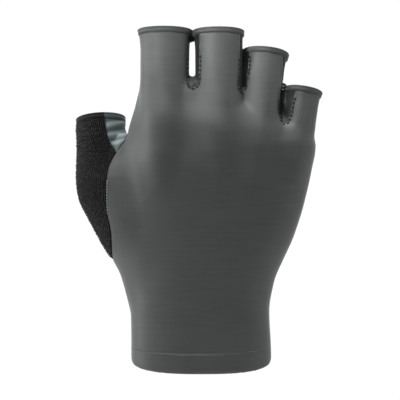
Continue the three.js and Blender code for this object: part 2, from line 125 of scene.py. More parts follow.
# Fingers: width, depth, length in millimetres, root in shares, lean and curl in degrees,
# flare of the mouth to its left and right in millimetres
FINGERS = {
    "index": dict(
        width=24.0, depth=20.0, length=60.7, root=(-0.198, -0.095, 0.769),
        lean=0.6, curl=11.5, flare=(1.5, 0.8),
    ),
    "middle": dict(
        width=23.8, depth=20.0, length=60.4, root=(0.095, -0.119, 0.769),
        lean=-0.2, curl=12.0, flare=(0.9, 0.3),
    ),
    "ring": dict(
        width=21.0, depth=18.6, length=52.1, root=(0.289, -0.107, 0.769),
        lean=5.6, curl=20.0, flare=(0.3, 1.1),
    ),
    "little": dict(
        width=17.4, depth=16.6, length=37.2, root=(0.482, -0.036, 0.731),
        lean=8.6, curl=17.0, flare=(0.2, 1.1),
    ),
}
# Sections of a finger by the share of its length, as shares of its half width, half depth and flare
FINGER_ROWS = {
    "along": [-0.40, -0.20, 0.00, 0.20, 0.40, 0.65, 0.82, 0.91, 1.00, 1.20],
    "wide": [0.40, 0.60, 0.85, 1.03, 1.03, 1.01, 1.01, 1.01, 1.01, 1.01],
    "deep": [0.60, 0.90, 1.20, 1.22, 1.13, 1.02, 0.96, 0.94, 0.95, 0.95],
    "spread": [0, 0, 0, 0, 0, 0, 0.03, 0.30, 1.0, 1.4],
}

# Sections of the thumb and of its web: places in shares of the hand, sizes in shares of the thumb
THUMB_ROWS = {
    "across": [-0.154, -0.234, -0.291, -0.371, -0.464, -0.508, -0.526, -0.534, -0.542],
    "deep": [0.071, 0.119, 0.143, 0.167, 0.190, 0.205, 0.229, 0.298, 0.386],
    "up": [0.092, 0.231, 0.354, 0.469, 0.577, 0.631, 0.692, 0.792, 0.898],
    "wide": [1.17, 1.17, 1.17, 1.22, 1.21, 1.17, 1.09, 1.01, 1.00],
    "thick": [1.27, 1.41, 1.55, 1.55, 1.42, 1.31, 1.18, 1.04, 1.00],
}
WEB_ROWS = {
    "across": [-0.300, -0.380, -0.418, -0.418, -0.412, -0.408],
    "deep": [0.100, 0.090, 0.107, 0.140, 0.165, 0.180],
    "up": [0.380, 0.500, 0.646, 0.746, 0.808, 0.829],
    "wide": [0.60, 1.00, 1.00, 0.71, 0.40, 0.22],
    "thick": [0.80, 1.20, 1.09, 0.85, 0.68, 0.50],
}

# Side seams: depth in shares of the wrist depth at the thumb, the index finger and the little finger
SIDE_SEAM = {
    "up": [-0.20, 0.28, 0.36, 0.46, 0.58, 0.69, 0.81, 1.00, 1.30],
    "thumb": [0.10, 0.11, 0.16, 0.24, 0.30, 0.34, 0.41, 0.56, 0.76],
    "index": [0.10, 0.10, 0.10, 0.10, 0.09, 0.08, 0.07, 0.14, 0.31],
    "little": [0.10, 0.10, 0.10, 0.10, 0.10, 0.11, 0.15, 0.28, 0.52],
}
SIDE_SEAM_COLUMNS = (-0.405, -0.355, -0.09, 0.40)

# Seams seen from the back, as (across, up) in shares of breadth and length
PALM_HEEL = [
    (-1.0, 0.36), (-0.36, 0.36), (-0.25, 0.31), (-0.10, 0.28), (0.08, 0.28), (0.24, 0.31), (0.36, 0.36),
    (1.0, 0.36),
]
THUMB_SIDE_SEAM = [
    (-0.477, 0.361), (-0.482, 0.475), (-0.501, 0.542), (-0.505, 0.590), (-0.505, 0.650), (-0.495, 0.710),
    (-0.456, 0.768),
]
THUMB_TOP_SEAM = [(-0.456, 0.768), (-0.495, 0.822), (-0.510, 0.868), (-0.520, 0.918), (-0.522, 1.020)]
THUMB_WEB_SEAM = [(-0.456, 0.768), (-0.425, 0.795), (-0.397, 0.825)]
GUSSETS = {
    "gusset_index_middle": [
        (-0.076, 1.30), (-0.077, 1.035), (-0.067, 1.012), (-0.050, 1.004), (-0.025, 1.010), (-0.008, 1.033),
        (-0.001, 1.30),
    ],
    "gusset_middle_ring": [
        (0.200, 1.30), (0.199, 1.075), (0.193, 1.015), (0.205, 0.992), (0.220, 0.986), (0.236, 1.005),
        (0.262, 1.13), (0.270, 1.30),
    ],
    "gusset_ring_little": [
        (0.440, 1.30), (0.424, 1.05), (0.408, 0.945), (0.420, 0.888), (0.446, 0.872), (0.464, 0.880),
        (0.486, 0.930), (0.515, 1.030), (0.540, 1.30),
    ],
}
SHARE = np.array([HAND_BREADTH, HAND_LENGTH])


def unit(vectors):
    return vectors / (np.linalg.norm(vectors, axis=-1, keepdims=True) + 1e-12)


def columns(*parts):
    return np.stack(parts, axis=-1)


def dot(a, b):
    return np.einsum("ij,ij->i", a, b)


def eased(t):
    return t * t * (3 - 2 * t)


def run_length(line):
    """How far along a line each of its points is."""
    return np.concatenate([[0], np.cumsum(np.linalg.norm(np.diff(line, axis=0), axis=1))])


# Smooth curves through the tables

CURVE_POINTS = 1500


def smooth_column(at, values):
    """A curve through a column's values without overshoot, as a function of where."""
    at, values = np.array(at, float), np.array(values, float)
    step = np.diff(at)
    rate = np.diff(values) / step
    slope = np.zeros_like(values)
    same = rate[:-1] * rate[1:] > 0
    inner = np.zeros(len(values) - 2)
    left, right = 2 * step[1:] + step[:-1], step[1:] + 2 * step[:-1]
    inner[same] = (left + right)[same] / (left[same] / rate[:-1][same] + right[same] / rate[1:][same])
    slope[1:-1] = inner
    slope[0], slope[-1] = rate[0], rate[-1]

    fine = np.linspace(at[0], at[-1], CURVE_POINTS)
    i = np.clip(np.searchsorted(at, fine, side="right") - 1, 0, len(step) - 1)
    t = (fine - at[i]) / step[i]
    h = step[i]
    curve = (
        values[i] * (1 + 2 * t) * (1 - t) ** 2
        + slope[i] * h * t * (1 - t) ** 2
        + values[i + 1] * t * t * (3 - 2 * t)
        - slope[i + 1] * h * t * t * (1 - t)
    )
    return lambda where: np.interp(where, fine, curve)


def table(rows, key):
    return {name: smooth_column(rows[key], column) for name, column in rows.items() if name != key}


HAND = table(HAND_ROWS, "up")
FINGER = table(FINGER_ROWS, "along")
SEAM = table(SIDE_SEAM, "up")


# Distance to each part of the hand, near its skin

def relief(side, x, z):
    rise = np.zeros_like(x)
    for face, across, up, wide, tall, high in RELIEF:
        if face == side:
            rise += high * WRIST_DEPTH * np.exp(
                -((x / HAND_BREADTH - across) / wide) ** 2 - ((z / HAND_LENGTH - up) / tall) ** 2
            )
    return rise


def section_distance(u, v, half_wide, half_deep, power):
    """Distance to a rounded section from the shares of its half sizes, near the section."""
    u, v = np.abs(u), np.abs(v)
    r = (u**power + v**power) ** (1 / power) + 1e-6
    u_steep, v_steep = (u / r) ** (2 * power - 2) / half_wide**2, (v / r) ** (2 * power - 2) / half_deep**2
    steep = np.sqrt(u_steep + v_steep)
    return np.clip((r - 1) / steep, -FAR, FAR)


def hand_distance(p):
    x, y, z = p[:, 0], p[:, 1], p[:, 2]
    up = z / HAND_LENGTH
    left, right = HAND["left"](up) * HAND_BREADTH, HAND["right"](up) * HAND_BREADTH
    half = (right - left) / 2
    u = (x - (left + right) / 2) / half
    y = y - HAND["bow"](up) * WRIST_DEPTH * np.minimum(u * u, BOW_LIMIT)
    back = HAND["back"](up) * WRIST_DEPTH + relief("back", x, z)
    palm = HAND["palm"](up) * WRIST_DEPTH + relief("palm", x, z)
    deep = np.where(y < 0, back, palm)
    side = section_distance(u, y / deep, half, deep, HAND["square"](up))
    return -soft_min(-side, HAND_TOP - z, HAND_TOP_BLEND)


def finger_axis(finger):
    lean, curl = math.radians(finger["lean"]), math.radians(finger["curl"])
    axis = np.array([math.tan(lean), math.tan(curl), 1.0])
    axis /= np.linalg.norm(axis)
    wide = np.cross((0, 1, 0), axis)
    wide /= np.linalg.norm(wide)
    return axis, wide, np.cross(axis, wide)


def finger_root(finger):
    return np.array(finger["root"]) * (HAND_BREADTH, WRIST_DEPTH, HAND_LENGTH)


def finger_section(finger, length):
    """Half width, half depth and sideways shift at a length along the finger."""
    along = length / finger["length"]
    left, right = finger["flare"]
    spread = FINGER["spread"](along) / 2
    half_wide = finger["width"] / 2 * FINGER["wide"](along) + (left + right) * spread
    return half_wide, finger["depth"] / 2 * FINGER["deep"](along), (right - left) * spread


# How square a finger's section is, where its tube starts as a share of its length, and how far it
# goes on past the mouth
FINGER_SQUARE = 2.15
FINGER_START = -0.3
FINGER_PAST_MOUTH = 1.5


def finger_distance(finger, p):
    axis, wide, thick = finger_axis(finger)
    q = p - finger_root(finger)
    along = q @ axis
    half_wide, half_deep, shift = finger_section(finger, along)
    u, v = (q @ wide - shift) / half_wide, q @ thick / half_deep
    side = section_distance(u, v, half_wide, half_deep, FINGER_SQUARE)
    before, past = FINGER_START * finger["length"] - along, along - finger["length"] - FINGER_PAST_MOUTH
    return np.maximum(side, np.maximum(before, past))


# How far a bent limb's centre line goes on below and above its rows, in how many points, over what
# height its slope is taken, and how square its section is
LIMB_BELOW = 40
LIMB_ABOVE = 60
LIMB_POINTS = 2000
LIMB_SLOPE_STEP = 0.5
LIMB_SQUARE = 2.0

# How the place on the centre line is found: rounds, the farthest that counts, and the share of a step
PLACE_ROUNDS = 4
PLACE_REACH = 25
PLACE_SHARE = 0.8


class BentLimb:
    """A limb round a bent centre line, whose rows give its centres and sizes."""

    def __init__(self, rows):
        at = np.array(rows["up"]) * HAND_LENGTH
        centre = [smooth_column(at, np.array(rows[key]) * size)
                  for key, size in (("across", HAND_BREADTH), ("deep", WRIST_DEPTH))]
        self.low, self.high = at[0], at[-1]
        self.at = np.linspace(at[0] - LIMB_BELOW, at[-1] + LIMB_ABOVE, LIMB_POINTS)
        step = LIMB_SLOPE_STEP
        near = np.clip(self.at, self.low + step, self.high - step)
        slope = [curve(near + step) - curve(near - step) for curve in centre]
        past = self.at - np.clip(self.at, self.low, self.high)
        sides = [curve(self.at) + part * past for curve, part in zip(centre, slope)]
        self.centres = columns(sides[0], sides[1], self.at)
        self.tangents = unit(columns(slope[0], slope[1], np.ones(len(self.at))))
        self.wide = smooth_column(at, np.array(rows["wide"]) * THUMB_WIDTH / 2)
        self.thick = smooth_column(at, np.array(rows["thick"]) * THUMB_DEPTH / 2)

    def look_up(self, rows, s):
        return np.stack([np.interp(s, self.at, rows[:, k]) for k in range(3)], axis=-1)

    def axes_at(self, s):
        tangent = unit(self.look_up(self.tangents, s))
        wide = unit(columns(tangent[:, 2], np.zeros(len(s)), -tangent[:, 0]))
        return tangent, wide, np.cross(tangent, wide)

    def place_on(self, p):
        """The height on the centre line beside each point, and the way there from it."""
        s = p[:, 2].copy()
        for _ in range(PLACE_ROUNDS):
            q = p - self.look_up(self.centres, s)
            q *= np.minimum(1, PLACE_REACH / (np.linalg.norm(q, axis=1) + 1e-9))[:, None]
            s += dot(q, self.look_up(self.tangents, s)) * PLACE_SHARE
        return s, p - self.look_up(self.centres, s)

    def distance(self, p):
        s, q = self.place_on(p)
        _, wide, thick = self.axes_at(s)
        half_wide, half_thick = self.wide(s), self.thick(s)
        u, v = dot(q, wide) / half_wide, dot(q, thick) / half_thick
        side = section_distance(u, v, half_wide, half_thick, LIMB_SQUARE)
        return side + np.maximum(self.low - s, 0), s


def soft_min(a, b, blend):
    h = np.maximum(blend - np.abs(a - b), 0) / blend
    return np.minimum(a, b) - h * h * blend / 4


THUMB = BentLimb(THUMB_ROWS)
WEB = BentLimb(WEB_ROWS)
HAND_TOP = HAND_ROWS["up"][-1] * HAND_LENGTH


def glove_distance(p):
    whole = hand_distance(p)
    thumb_side = p[:, 0] < THUMB_LEFT_OF
    if thumb_side.any():
        near = p[thumb_side]
        web, height = WEB.distance(near)
        blend = np.interp(near[:, 2], THUMB_BLEND["up"], THUMB_BLEND["blend"])
        web = np.maximum(web, height - WEB.high)
        part = soft_min(whole[thumb_side], web, np.minimum(blend, WEB_BLEND))
        whole[thumb_side] = soft_min(part, THUMB.distance(near)[0], blend)
    finger_side = p[:, 2] > FINGERS_ABOVE
    if finger_side.any():
        near = p[finger_side]
        fingers = finger_distance(FINGERS["index"], near)
        for name, fork in FORKS.items():
            low = np.clip((fork - near[:, 2]) / FORK_RISE, 0, 1)
            blend = FORK_TOP_BLEND + (FORK_BLEND - FORK_TOP_BLEND) * eased(low)
            fingers = soft_min(fingers, finger_distance(FINGERS[name], near), blend)
        rise = np.clip((near[:, 2] - FINGER_TOP_FROM) / FINGER_TOP_RISE, 0, 1)
        blend = FINGER_BLEND + (FINGER_TOP_BLEND - FINGER_BLEND) * eased(rise)
        whole[finger_side] = soft_min(whole[finger_side], fingers, blend)
    return whole


def steepness(p, here, step=0.05):
    slope = np.zeros_like(p)
    for axis in range(3):
        ahead = p.copy()
        ahead[:, axis] += step
        slope[:, axis] = (glove_distance(ahead) - here) / step
    return slope


def skin_normal(p):
    return unit(steepness(p, glove_distance(p)))


# How points are moved on to the skin: rounds, the least steepness and the longest way
MOVE_ROUNDS = 2
LEAST_STEEPNESS = 0.25
LONGEST_MOVE = 2


def onto_skin(p):
    for _ in range(MOVE_ROUNDS):
        here = glove_distance(p)
        slope = steepness(p, here)
        size = np.maximum(dot(slope, slope), LEAST_STEEPNESS)
        p = p - np.clip(here / size, -LONGEST_MOVE, LONGEST_MOVE)[:, None] * slope
    return p


# The skin as a mesh of small squares over the zero level of the distance

def grid_axis(low, high, step):
    return low + step * np.arange(int(math.ceil((high - low) / step)) + 1)


def refine(grid, times):
    """A grid with more steps between its points, by straight interpolation."""
    for axis in range(3):
        count = grid.shape[axis]
        fine = np.linspace(0, count - 1, (count - 1) * times + 1)
        low = np.minimum(fine.astype(int), count - 2)
        part = fine - low
        shape = [1, 1, 1]
        shape[axis] = -1
        part = part.reshape(shape)
        grid = np.take(grid, low, axis) * (1 - part) + np.take(grid, low + 1, axis) * part
    return grid


def beside(index, axis, back):
    """The cells beside grid edges along an axis, this many steps back along the two other axes."""
    cell = index.copy()
    cell[:, (axis + 1) % 3] -= back[0]
    cell[:, (axis + 2) % 3] -= back[1]
    return cell


SEARCH_PARTS = 24
ROUND_AN_EDGE = ((1, 1), (0, 1), (0, 0), (1, 0))


def skin_mesh():
    low, high = SEARCH_BOX
    axes = [grid_axis(low[i], high[i], SEARCH_STEP) for i in range(3)]
    points = np.stack(np.meshgrid(*axes, indexing="ij"), axis=-1).reshape(-1, 3)
    values = np.concatenate([glove_distance(part) for part in np.array_split(points, SEARCH_PARTS)])
    grid = refine(values.reshape([len(a) for a in axes]), int(round(SEARCH_STEP / CLOTH_STEP)))

    # Grid edges that go through the skin, and the mean place of those round each cell
    size = np.array(grid.shape) - 1
    cell_count = np.zeros(size, int)
    total = np.zeros([*size, 3])
    crossings = []
    for axis in range(3):
        start, end = np.take(grid, range(size[axis]), axis), np.take(grid, range(1, size[axis] + 1), axis)
        index = columns(*np.nonzero((start < 0) != (end < 0)))
        start, end = start[tuple(index.T)], end[tuple(index.T)]
        crossings.append((index, start < 0))
        place = index.astype(float)
        place[:, axis] += start / (start - end)
        for back in ROUND_AN_EDGE:
            cell = beside(index, axis, back)
            ok = np.all((cell >= 0) & (cell < size), axis=1)
            np.add.at(cell_count, tuple(cell[ok].T), 1)
            np.add.at(total, tuple(cell[ok].T), place[ok])
    used = np.nonzero(cell_count)
    number = -np.ones(size, int)
    number[used] = np.arange(len(used[0]))
    points = onto_skin(low + CLOTH_STEP * total[used] / cell_count[used][:, None])

    # A square of four cells round each such edge, split along its shorter diagonal
    faces = []
    for axis, (index, leaving) in enumerate(crossings):
        others = [(axis + 1) % 3, (axis + 2) % 3]
        within = (index[:, others] > 0) & (index[:, others] < size[others])
        index, leaving = index[within.all(1)], leaving[within.all(1)]
        quad = columns(*(number[tuple(beside(index, axis, back).T)] for back in ROUND_AN_EDGE))
        quad[~leaving] = quad[~leaving][:, ::-1]
        faces.append(quad)
    quads = np.concatenate(faces)
    diagonal = np.linalg.norm(points[quads[:, 0]] - points[quads[:, 2]], axis=1)
    other = np.linalg.norm(points[quads[:, 1]] - points[quads[:, 3]], axis=1)
    turned = np.where((diagonal <= other)[:, None], quads, np.roll(quads, -1, axis=1))
    return points, np.concatenate([turned[:, [0, 1, 2]], turned[:, [0, 2, 3]]])


# Seams as levels over the skin: negative inside a panel's outline

def outline_distance(outline, p):
    """Signed distance in the plane of the hand to a closed outline, negative inside."""
    corners = np.array(outline) * SHARE
    q = p[:, [0, 2]]
    nearest = np.full(len(q), 1e9)
    inside = np.zeros(len(q), bool)
    for a, b in zip(corners, np.roll(corners, -1, axis=0)):
        edge = b - a
        part = np.clip(((q - a) @ edge) / (edge @ edge), 0, 1)
        nearest = np.minimum(nearest, np.linalg.norm(q - a - part[:, None] * edge, axis=1))
        straddles = (a[1] > q[:, 1]) != (b[1] > q[:, 1])
        rise = edge[1] if edge[1] else 1e-9
        inside ^= straddles & (q[:, 0] < a[0] + edge[0] * (q[:, 1] - a[1]) / rise)
    return np.where(inside, -nearest, nearest)


def rounded_outline(corners, closing, softness=5):
    """An outline whose seam part is a smooth curve through its corners, closed far away."""
    points = np.array(corners, float)
    length = run_length(points * SHARE)
    fine = np.concatenate([
        np.linspace(a, b, softness, endpoint=False) for a, b in zip(length[:-1], length[1:])
    ] + [length[-1:]])
    curve = np.stack([smooth_column(length, points[:, k])(fine) for k in (0, 1)], axis=-1)
    return [tuple(point) for point in curve] + list(closing)


THUMB_OUTLINE = (
    rounded_outline(THUMB_SIDE_SEAM, [])
    + rounded_outline(THUMB_TOP_SEAM, [])[1:]
    + [(-1.0, 1.02), (-1.0, 0.361)]
)
THUMB_INNER_OUTLINE = (
    list(THUMB_WEB_SEAM) + [(-0.397, 1.02)] + rounded_outline(THUMB_TOP_SEAM, [])[::-1][:-1]
)
HEEL_OUTLINE = rounded_outline(PALM_HEEL, [(1.0, 1.5), (-1.0, 1.5)])
GUSSET_EDGE = 0.9
GUSSET_OUTLINES = {name: rounded_outline(seam, []) for name, seam in GUSSETS.items()}


def side_seam_depth(x, z):
    up = z / HAND_LENGTH
    thumb, index, little = (SEAM[key](up) for key in ("thumb", "index", "little"))
    a, b, c, d = (column * HAND_BREADTH for column in SIDE_SEAM_COLUMNS)
    near = np.clip((x - a) / (b - a), 0, 1)
    far = np.clip((x - c) / (d - c), 0, 1)
    near, far = eased(near), eased(far)
    return (thumb * (1 - near) + index * near * (1 - far) + little * far) * WRIST_DEPTH


def palm_level(p):
    """Negative on the palm panel."""
    behind = side_seam_depth(p[:, 0], p[:, 2]) - p[:, 1]
    above = outline_distance(HEEL_OUTLINE, p)
    return -soft_min(-behind, -above, PALM_SEAM_BLEND)


def gusset_level(name):
    return lambda p: outline_distance(GUSSET_OUTLINES[name], p) + GUSSET_EDGE


def thumb_outer_level(p):
    return outline_distance(THUMB_OUTLINE, p)


def thumb_inner_level(p):
    return outline_distance(THUMB_INNER_OUTLINE, p)


# Mouth and hem planes: positive beyond the cloth's end

CUFF_BACK = HAND_ROWS["back"][0] * WRIST_DEPTH
HEM_LINE = CUFF_HEM_HEIGHT - CUFF_BACK * (math.tan(CUFF_MOUTH_TILT) - math.tan(CUFF_HEM_TILT))
OUT_OF_REACH = -1000.0


def nearest_finger(p):
    return np.argmin([finger_distance(finger, p) for finger in FINGERS.values()], axis=0)


def finger_end_level(name):
    finger = FINGERS[name]
    number = list(FINGERS).index(name)
    end = finger["length"] - FINGER_HEM_HEIGHT

    def level(p):
        beyond = (p - finger_root(finger)) @ finger_axis(finger)[0] - end
        own = (nearest_finger(p) == number) & (p[:, 2] > FINGER_MOUTHS_ABOVE)
        return np.where(own, beyond, OUT_OF_REACH)

    return level


THUMB_TOP = THUMB.look_up(THUMB.centres, np.array([THUMB.high]))[0]
THUMB_AXIS, THUMB_ACROSS, THUMB_THICK = (v[0] for v in THUMB.axes_at(np.array([THUMB.high])))


def thumb_end_level(p):
    beyond = (p - THUMB_TOP) @ THUMB_AXIS + FINGER_HEM_HEIGHT
    return np.where(p[:, 0] < THUMB_MOUTH_LEFT_OF, beyond, OUT_OF_REACH)


def cuff_mouth_level(p):
    return p[:, 1] * math.sin(CUFF_MOUTH_TILT) - p[:, 2] * math.cos(CUFF_MOUTH_TILT)


def cuff_hem_level(p):
    return p[:, 1] * math.sin(CUFF_HEM_TILT) - (p[:, 2] - HEM_LINE) * math.cos(CUFF_HEM_TILT)


END_LEVELS = [finger_end_level(name) for name in FINGERS] + [thumb_end_level, cuff_mouth_level]


# Cutting the skin into its panels

SNAP = 0.15 * CLOTH_STEP


def cut(points, triangles, level):
    """The mesh with its triangles split where the level is zero."""
    value = level(points)
    value[np.abs(value) < SNAP] = 0
    side = np.sign(value)
    edges = columns(triangles, np.roll(triangles, -1, axis=1))
    crosses = side[edges[..., 0]] * side[edges[..., 1]] < 0
    key = edges.min(-1) * len(points) + edges.max(-1)
    keys, back = np.unique(key[crosses], return_inverse=True)
    a, b = keys // len(points), keys % len(points)
    part = value[a] / (value[a] - value[b])
    fresh_points = points[a] + part[:, None] * (points[b] - points[a])
    fresh = -np.ones(triangles.shape, int)
    fresh[crosses] = len(points) + back.reshape(-1)
    count = crosses.sum(1)
    result = [triangles[count == 0]]
    for edge in range(3):
        after, opposite = (edge + 1) % 3, (edge + 2) % 3
        once = (count == 1) & crosses[:, edge]
        t, m = triangles[once], fresh[once][:, edge]
        result.append(columns(t[:, opposite], t[:, edge], m))
        result.append(columns(t[:, opposite], m, t[:, after]))
        twice = (count == 2) & ~crosses[:, edge]
        t, near, far = triangles[twice], fresh[twice][:, opposite], fresh[twice][:, after]
        result.append(columns(t[:, opposite], near, far))
        result.append(columns(near, t[:, edge], t[:, after]))
        result.append(columns(near, t[:, after], far))
    return np.concatenate([points, fresh_points]), np.concatenate(result)


def largest_part(triangles, count):
    """Which triangles are in the largest connected part."""
    label = np.arange(count)
    while True:
        low = label[triangles].min(1)
        fresh = label.copy()
        for corner in range(3):
            np.minimum.at(fresh, triangles[:, corner], low)
        fresh = fresh[fresh]
        if np.array_equal(fresh, label):
            break
        label = fresh
    part = label[triangles[:, 0]]
    numbers, sizes = np.unique(part, return_counts=True)
    return part == numbers[np.argmax(sizes)]


def panels(points, triangles):
    """Each panel's triangles, by name."""
    for level in END_LEVELS:
        points, triangles = cut(points, triangles, level)
        triangles = triangles[level(points[triangles].mean(1)) <= 0]
    seams = [cuff_hem_level, palm_level, thumb_outer_level, thumb_inner_level]
    for level in seams + [gusset_level(name) for name in GUSSETS]:
        points, triangles = cut(points, triangles, level)
    middle = points[triangles].mean(1)
    kind = np.full(len(triangles), "back_panel", dtype="U24")
    kind[thumb_inner_level(middle) < 0] = "thumb_inner_panel"
    kind[thumb_outer_level(middle) < 0] = "thumb_outer_panel"
    kind[palm_level(middle) < 0] = "palm_panel"
    for name in GUSSETS:
        kind[gusset_level(name)(middle) < 0] = name
    kind[cuff_hem_level(middle) > 0] = "cuff_hem"
    # A strip of the back that the palm seam and a gusset cut off is sewn to the palm
    back = np.nonzero(kind == "back_panel")[0]
    kind[back[~largest_part(triangles[back], len(points))]] = "palm_panel"
    result = {}
    for name in np.unique(kind):
        own = triangles[kind == name]
        result[str(name)] = own[largest_part(own, len(points))]
    return points, result


def outer_edges(triangles, count):
    """The directed edges that only one triangle has."""
    edges = np.concatenate([triangles[:, [0, 1]], triangles[:, [1, 2]], triangles[:, [2, 0]]])
    key, other = edges[:, 0] * count + edges[:, 1], edges[:, 1] * count + edges[:, 0]
    return edges[~np.isin(key, other)]


def near_edge(points, edge_points, reach):
    """Distance of each point to the nearest edge point, up to reach."""
    cells = {}
    for number, cell in enumerate(map(tuple, np.floor(edge_points / reach).astype(int))):
        cells.setdefault(cell, []).append(number)
    result = np.full(len(points), reach)
    place = np.floor(points / reach).astype(int)
    order = np.lexsort(place.T)
    changes = np.nonzero(np.any(np.diff(place[order], axis=0), axis=1))[0] + 1
    for group in np.split(order, changes):
        x, y, z = place[group[0]]
        near = [n for i in (-1, 0, 1) for j in (-1, 0, 1) for k in (-1, 0, 1)
                for n in cells.get((x + i, y + j, z + k), ())]
        if near:
            gap = points[group][:, None] - edge_points[near][None]
            result[group] = np.minimum(np.sqrt((gap**2).sum(-1)).min(1), reach)
    return result


# The cloth of each panel, as a mesh with two faces and an edge

# How deep a seam draws the cloth in, at the cuff's hem line and elsewhere, and how far from the seam
SEAM_PRESS = 0.38
HEM_LINE_PRESS = 0.03
HEM_LINE_NEAR = 2.5
SEAM_REACH = 0.75
SEAM_SEARCH = 2.4


def add_mesh(name, points, triangles, finish, smooth=True):
    mesh = bpy.data.meshes.new(name)
    mesh.vertices.add(len(points))
    mesh.vertices.foreach_set("co", np.asarray(points * MM, np.float32).ravel())
    mesh.loops.add(triangles.size)
    mesh.loops.foreach_set("vertex_index", triangles.astype(np.int32).ravel())
    mesh.polygons.add(len(triangles))
    mesh.polygons.foreach_set("loop_start", np.arange(0, triangles.size, 3, dtype=np.int32))
    mesh.polygons.foreach_set("use_smooth", np.broadcast_to(smooth, len(triangles)).copy())
    mesh.update(calc_edges=True)
    mesh.validate()
    mesh.materials.append(finish)
    piece = bpy.data.objects.new(name, mesh)
    bpy.context.scene.collection.objects.link(piece)
    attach(piece, "root")
    return piece


def panel_mesh(points, triangles, lift):
    """A panel with its outer face, its inner face a wall further in, and the edge between them."""
    used, own = np.unique(triangles, return_inverse=True)
    own = own.reshape(-1, 3)
    skin = points[used]
    normal = skin_normal(skin)
    edges = outer_edges(own, len(skin))
    gap = near_edge(skin, skin[np.unique(edges)], SEAM_SEARCH)
    at_hem_line = np.abs(cuff_hem_level(skin)) < HEM_LINE_NEAR
    press = np.where(at_hem_line, HEM_LINE_PRESS, SEAM_PRESS) * np.exp(-((gap / SEAM_REACH) ** 2))
    outer = skin + normal * (lift(skin) - press)[:, None]
    inner = skin - normal * WALL
    count = len(skin)
    a, b = edges[:, 0], edges[:, 1]
    rim = np.concatenate([columns(b, a, a + count), columns(b, a + count, b + count)])
    faces = np.concatenate([own, own[:, ::-1] + count, rim])
    smooth = np.concatenate([np.ones(2 * len(own), bool), np.zeros(len(rim), bool)])
    return np.concatenate([outer, inner]), faces, smooth


# Shallow folds of each cloth: rise, lengths across and up in millimetres, and the seed of the waves
FOLDS = {"back": (0.10, 26, 34, 3), "palm": (0.12, 22, 30, 5), "towelling": (0.08, 9, 14, 7)}
FOLD_WAVES = 5
FOLD_DEPTH_SHARE = 0.6


def folds(p, cloth_name):
    """How far shallow folds lift the cloth, as the mean of some smooth waves."""
    high, across, up, seed = FOLDS[cloth_name]
    rng = np.random.default_rng(seed)
    total = np.zeros(len(p))
    for _ in range(FOLD_WAVES):
        turn = rng.uniform(-0.5, 0.5)
        phase = rng.uniform(0, 2 * math.pi)
        stretch = rng.uniform(0.7, 1.4)
        sideways = (p[:, 0] * math.cos(turn) + p[:, 1] * FOLD_DEPTH_SHARE) / across
        upwards = (p[:, 2] + p[:, 0] * math.sin(turn)) / up
        total += np.sin(2 * math.pi * (sideways + upwards) * stretch + phase) / FOLD_WAVES
    return high * total


# How deep and wide the stitches draw the cloth in beside the gussets, and how far towards the palm
GROOVE_DEPTH = 0.16
GROOVE_WIDTH = 0.6
GROOVE_PALM_SIDE = 4


def stitch_groove(p):
    groove = np.zeros(len(p))
    for outline in GUSSET_OUTLINES.values():
        groove = np.maximum(groove, np.exp(-((outline_distance(outline, p) / GROOVE_WIDTH) ** 2)))
    return groove * (p[:, 1] < GROOVE_PALM_SIDE)


# Knuckles, the hollows under them and the swell beside the thumb, on the back: place in shares of
# breadth and length, then width, height and rise in millimetres
KNUCKLES = [
    (-0.190, 0.900, 9.0, 9.0, 1.4),
    (-0.270, 0.715, 10.0, 13.0, 0.9),
    (0.085, 0.895, 10.0, 10.0, 0.8),
    (0.300, 0.860, 9.0, 10.0, 0.4),
    (0.500, 0.790, 8.0, 9.0, 0.4),
    (-0.060, 0.800, 6.0, 9.0, -0.5),
    (0.190, 0.770, 6.0, 9.0, -0.6),
    (0.400, 0.740, 5.0, 8.0, -0.5),
]


def knuckles(p):
    rise = np.zeros(len(p))
    for across, up, wide, tall, high in KNUCKLES:
        x, z = (p[:, 0] - across * HAND_BREADTH) / wide, (p[:, 2] - up * HAND_LENGTH) / tall
        rise += high * np.exp(-x * x - z * z)
    return rise


# Over how many millimetres towards the back the knuckles come to their full rise
KNUCKLE_FADE = 6


def back_lift(p):
    on_back = np.clip(-p[:, 1] / KNUCKLE_FADE, 0, 1)
    return folds(p, "back") - GROOVE_DEPTH * stitch_groove(p) + on_back * knuckles(p)


# How far the gussets lie under the skin of the hand
GUSSET_SINK = 0.50


def gusset_lift(p):
    return np.full(len(p), -GUSSET_SINK)


def palm_lift(p):
    return folds(p, "palm")


def towel_lift(p):
    return folds(p, "towelling")


# Ribs of the inner thumb panel: height in millimetres, and how far the cloth rises there
RIBS = {
    "up": [99.0, 101.0, 102.6, 104.5, 106.2, 108.6, 111.0, 113.6, 116.2, 118.5],
    "rise": [-0.10, -0.25, -0.22, 0.25, -0.30, 0.30, -0.30, 0.30, -0.30, -0.05],
}
# How steeply the ribs slant, and the place across the hand where their heights hold
RIB_SLOPE = 0.20
RIB_MIDDLE = -42
RIB_RISE = smooth_column(RIBS["up"], RIBS["rise"])


def rib_lift(p):
    return RIB_RISE(p[:, 2] - RIB_SLOPE * (p[:, 0] - RIB_MIDDLE))


# The fine ridge of the cuff's hem: rise, distance from the hem line and width
RIDGE_RISE = 0.03
RIDGE_AT = 0.6
RIDGE_WIDTH = 0.45


def cuff_lift(p):
    return folds(p, "back") + RIDGE_RISE * np.exp(-(((cuff_hem_level(p) - RIDGE_AT) / RIDGE_WIDTH) ** 2))


# Hems: a band swept round each mouth, as (height over the hem line, distance out from the cloth)

